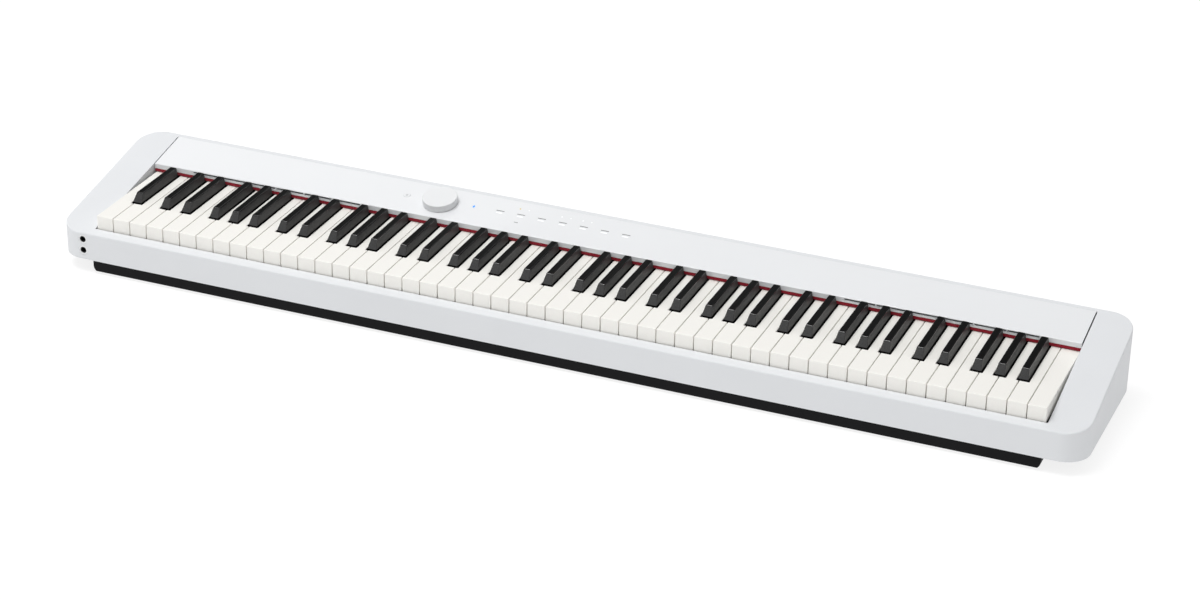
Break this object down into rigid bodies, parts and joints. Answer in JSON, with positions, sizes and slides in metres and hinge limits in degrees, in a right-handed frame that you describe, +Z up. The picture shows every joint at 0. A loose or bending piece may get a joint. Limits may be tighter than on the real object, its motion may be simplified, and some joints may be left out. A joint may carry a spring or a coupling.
{
  "type": "slim digital piano",
  "caption": "Slim white digital piano with weighted piano keys, a sloping gloss control panel, a round volume knob, headphone sockets at the front left and a black tray base.",
  "frame": {"origin": "centre of the footprint, on the surface that the rubber feet stand on", "axes": "+X to the right along the keyboard, +Y to the back, +Z up"},
  "size_m": [1.322, 0.232, 0.1056],
  "materials": {
    "case_white": "fine-textured moulded white",
    "panel_white": "polished white",
    "base_black": "textured black",
    "frame_grey": "moulded grey",
    "key_ivory": "fine-grained ivory feel",
    "key_black": "fine-grained ebony feel",
    "hammer_metal": "die-cast, grey",
    "rod_steel": "ground",
    "felt_red": "pressed felt",
    "felt_dark": "pressed felt",
    "board_green": "solder mask",
    "board_parts": "moulded packages",
    "rubber_grey": "silicone",
    "rubber_black": "matt",
    "brass": "turned",
    "screw_steel": "black zinc",
    "grille_black": "woven",
    "lens_clear": "frosted",
    "lens_blue": "lit blue",
    "knob_white": "satin white",
    "speaker_black": "moulded",
    "cone_paper": "pressed paper",
    "magnet_grey": "ferrite",
    "jack_black": "moulded",
    "ribbon_grey": "flat cable"
  },
  "bodies": {
    "case": {"upper_case": "case_white", "top_panel": "panel_white", "lower_case": "base_black", "key_frame": "frame_grey", "pivot_rods": "rod_steel", "hammer_stop_bar": "rod_steel", "action_felts": "felt_dark", "red_felt_strip": "felt_red", "contact_board": "board_green", "rubber_contacts": "rubber_grey", "rubber_feet": "rubber_black", "stand_inserts": "brass", "case_screws": "screw_steel", "inner_screws": "screw_steel", "sound_grilles": "grille_black", "led_lenses": "lens_clear", "power_lamp_lens": "lens_blue", "volume_pot": "board_parts", "power_switch": "board_parts", "control_board": "board_green", "touch_pads": "rubber_black", "status_leds": "lens_clear", "speaker_frames": "speaker_black", "speaker_cones": "cone_paper", "speaker_magnets": "magnet_grey", "headphone_jacks": "jack_black", "headphone_bezels": "knob_white", "headphone_board": "board_green", "main_board": "board_green", "board_chips": "board_parts", "panel_ribbon": "ribbon_grey", "rear_jacks": "jack_black", "usb_port": "rod_steel"},
    "key_c": {"keys_c": "key_ivory"},
    "hammer_c": {"hammers_c": "hammer_metal"},
    "key_c_sharp": {"keys_c_sharp": "key_black"},
    "hammer_c_sharp": {"hammers_c_sharp": "hammer_metal"},
    "key_d": {"keys_d": "key_ivory"},
    "hammer_d": {"hammers_d": "hammer_metal"},
    "key_d_sharp": {"keys_d_sharp": "key_black"},
    "hammer_d_sharp": {"hammers_d_sharp": "hammer_metal"},
    "key_e": {"keys_e": "key_ivory"},
    "hammer_e": {"hammers_e": "hammer_metal"},
    "key_f": {"keys_f": "key_ivory"},
    "hammer_f": {"hammers_f": "hammer_metal"},
    "key_f_sharp": {"keys_f_sharp": "key_black"},
    "hammer_f_sharp": {"hammers_f_sharp": "hammer_metal"},
    "key_g": {"keys_g": "key_ivory"},
    "hammer_g": {"hammers_g": "hammer_metal"},
    "key_g_sharp": {"keys_g_sharp": "key_black"},
    "hammer_g_sharp": {"hammers_g_sharp": "hammer_metal"},
    "key_a": {"keys_a": "key_ivory"},
    "hammer_a": {"hammers_a": "hammer_metal"},
    "key_a_sharp": {"keys_a_sharp": "key_black"},
    "hammer_a_sharp": {"hammers_a_sharp": "hammer_metal"},
    "key_b": {"keys_b": "key_ivory"},
    "hammer_b": {"hammers_b": "hammer_metal"},
    "volume_control": {"volume_knob": "knob_white", "volume_shaft": "rod_steel"},
    "power_push": {"power_button": "knob_white"}
  },
  "joints": [
    {"name": "key_c_press", "type": "hinge", "parent": "case", "child": "key_c", "pos_m": [0, 0.098, 0.056], "axis": [1, 0, 0], "range_deg": [0, 2.9], "stiffness_Nm_per_rad": 4, "springref_deg": -14.32},
    {"name": "hammer_c_swing", "type": "hinge", "parent": "case", "child": "hammer_c", "pos_m": [0, -0.008, 0.03], "axis": [1, 0, 0], "range_deg": [0, 12.69]},
    {"name": "key_c_sharp_press", "type": "hinge", "parent": "case", "child": "key_c_sharp", "pos_m": [0, 0.098, 0.056], "axis": [1, 0, 0], "range_deg": [0, 2.9], "stiffness_Nm_per_rad": 4, "springref_deg": -14.32},
    {"name": "hammer_c_sharp_swing", "type": "hinge", "parent": "case", "child": "hammer_c_sharp", "pos_m": [0, -0.008, 0.03], "axis": [1, 0, 0], "range_deg": [0, 12.69]},
    {"name": "key_d_press", "type": "hinge", "parent": "case", "child": "key_d", "pos_m": [0, 0.098, 0.056], "axis": [1, 0, 0], "range_deg": [0, 2.9], "stiffness_Nm_per_rad": 4, "springref_deg": -14.32},
    {"name": "hammer_d_swing", "type": "hinge", "parent": "case", "child": "hammer_d", "pos_m": [0, -0.008, 0.03], "axis": [1, 0, 0], "range_deg": [0, 12.69]},
    {"name": "key_d_sharp_press", "type": "hinge", "parent": "case", "child": "key_d_sharp", "pos_m": [0, 0.098, 0.056], "axis": [1, 0, 0], "range_deg": [0, 2.9], "stiffness_Nm_per_rad": 4, "springref_deg": -14.32},
    {"name": "hammer_d_sharp_swing", "type": "hinge", "parent": "case", "child": "hammer_d_sharp", "pos_m": [0, -0.008, 0.03], "axis": [1, 0, 0], "range_deg": [0, 12.69]},
    {"name": "key_e_press", "type": "hinge", "parent": "case", "child": "key_e", "pos_m": [0, 0.098, 0.056], "axis": [1, 0, 0], "range_deg": [0, 2.9], "stiffness_Nm_per_rad": 4, "springref_deg": -14.32},
    {"name": "hammer_e_swing", "type": "hinge", "parent": "case", "child": "hammer_e", "pos_m": [0, -0.008, 0.03], "axis": [1, 0, 0], "range_deg": [0, 12.69]},
    {"name": "key_f_press", "type": "hinge", "parent": "case", "child": "key_f", "pos_m": [0, 0.098, 0.056], "axis": [1, 0, 0], "range_deg": [0, 2.9], "stiffness_Nm_per_rad": 4, "springref_deg": -14.32},
    {"name": "hammer_f_swing", "type": "hinge", "parent": "case", "child": "hammer_f", "pos_m": [0, -0.008, 0.03], "axis": [1, 0, 0], "range_deg": [0, 12.69]},
    {"name": "key_f_sharp_press", "type": "hinge", "parent": "case", "child": "key_f_sharp", "pos_m": [0, 0.098, 0.056], "axis": [1, 0, 0], "range_deg": [0, 2.9], "stiffness_Nm_per_rad": 4, "springref_deg": -14.32},
    {"name": "hammer_f_sharp_swing", "type": "hinge", "parent": "case", "child": "hammer_f_sharp", "pos_m": [0, -0.008, 0.03], "axis": [1, 0, 0], "range_deg": [0, 12.69]},
    {"name": "key_g_press", "type": "hinge", "parent": "case", "child": "key_g", "pos_m": [0, 0.098, 0.056], "axis": [1, 0, 0], "range_deg": [0, 2.9], "stiffness_Nm_per_rad": 4, "springref_deg": -14.32},
    {"name": "hammer_g_swing", "type": "hinge", "parent": "case", "child": "hammer_g", "pos_m": [0, -0.008, 0.03], "axis": [1, 0, 0], "range_deg": [0, 12.69]},
    {"name": "key_g_sharp_press", "type": "hinge", "parent": "case", "child": "key_g_sharp", "pos_m": [0, 0.098, 0.056], "axis": [1, 0, 0], "range_deg": [0, 2.9], "stiffness_Nm_per_rad": 4, "springref_deg": -14.32},
    {"name": "hammer_g_sharp_swing", "type": "hinge", "parent": "case", "child": "hammer_g_sharp", "pos_m": [0, -0.008, 0.03], "axis": [1, 0, 0], "range_deg": [0, 12.69]},
    {"name": "key_a_press", "type": "hinge", "parent": "case", "child": "key_a", "pos_m": [0, 0.098, 0.056], "axis": [1, 0, 0], "range_deg": [0, 2.9], "stiffness_Nm_per_rad": 4, "springref_deg": -14.32},
    {"name": "hammer_a_swing", "type": "hinge", "parent": "case", "child": "hammer_a", "pos_m": [0, -0.008, 0.03], "axis": [1, 0, 0], "range_deg": [0, 12.69]},
    {"name": "key_a_sharp_press", "type": "hinge", "parent": "case", "child": "key_a_sharp", "pos_m": [0, 0.098, 0.056], "axis": [1, 0, 0], "range_deg": [0, 2.9], "stiffness_Nm_per_rad": 4, "springref_deg": -14.32},
    {"name": "hammer_a_sharp_swing", "type": "hinge", "parent": "case", "child": "hammer_a_sharp", "pos_m": [0, -0.008, 0.03], "axis": [1, 0, 0], "range_deg": [0, 12.69]},
    {"name": "key_b_press", "type": "hinge", "parent": "case", "child": "key_b", "pos_m": [0, 0.098, 0.056], "axis": [1, 0, 0], "range_deg": [0, 2.9], "stiffness_Nm_per_rad": 4, "springref_deg": -14.32},
    {"name": "hammer_b_swing", "type": "hinge", "parent": "case", "child": "hammer_b", "pos_m": [0, -0.008, 0.03], "axis": [1, 0, 0], "range_deg": [0, 12.69]},
    {"name": "volume_turn", "type": "hinge", "parent": "case", "child": "volume_control", "pos_m": [-0.2205, 0.0777, 0.09229], "axis": [0, -0.1925, 0.9813], "range_deg": [-150, 150]},
    {"name": "power_press", "type": "slide", "parent": "case", "child": "power_push", "axis": [0, 0.1925, -0.9813], "range_m": [0, 0.0012], "stiffness_N_per_m": 600, "springref_m": -0.002}
  ],
  "couplings": [
    {"joint": "hammer_c_swing", "follows": "key_c_press", "ratio": 4.36},
    {"joint": "hammer_c_sharp_swing", "follows": "key_c_sharp_press", "ratio": 4.36},
    {"joint": "hammer_d_swing", "follows": "key_d_press", "ratio": 4.36},
    {"joint": "hammer_d_sharp_swing", "follows": "key_d_sharp_press", "ratio": 4.36},
    {"joint": "hammer_e_swing", "follows": "key_e_press", "ratio": 4.36},
    {"joint": "hammer_f_swing", "follows": "key_f_press", "ratio": 4.36},
    {"joint": "hammer_f_sharp_swing", "follows": "key_f_sharp_press", "ratio": 4.36},
    {"joint": "hammer_g_swing", "follows": "key_g_press", "ratio": 4.36},
    {"joint": "hammer_g_sharp_swing", "follows": "key_g_sharp_press", "ratio": 4.36},
    {"joint": "hammer_a_swing", "follows": "key_a_press", "ratio": 4.36},
    {"joint": "hammer_a_sharp_swing", "follows": "key_a_sharp_press", "ratio": 4.36},
    {"joint": "hammer_b_swing", "follows": "key_b_press", "ratio": 4.36}
  ]
}
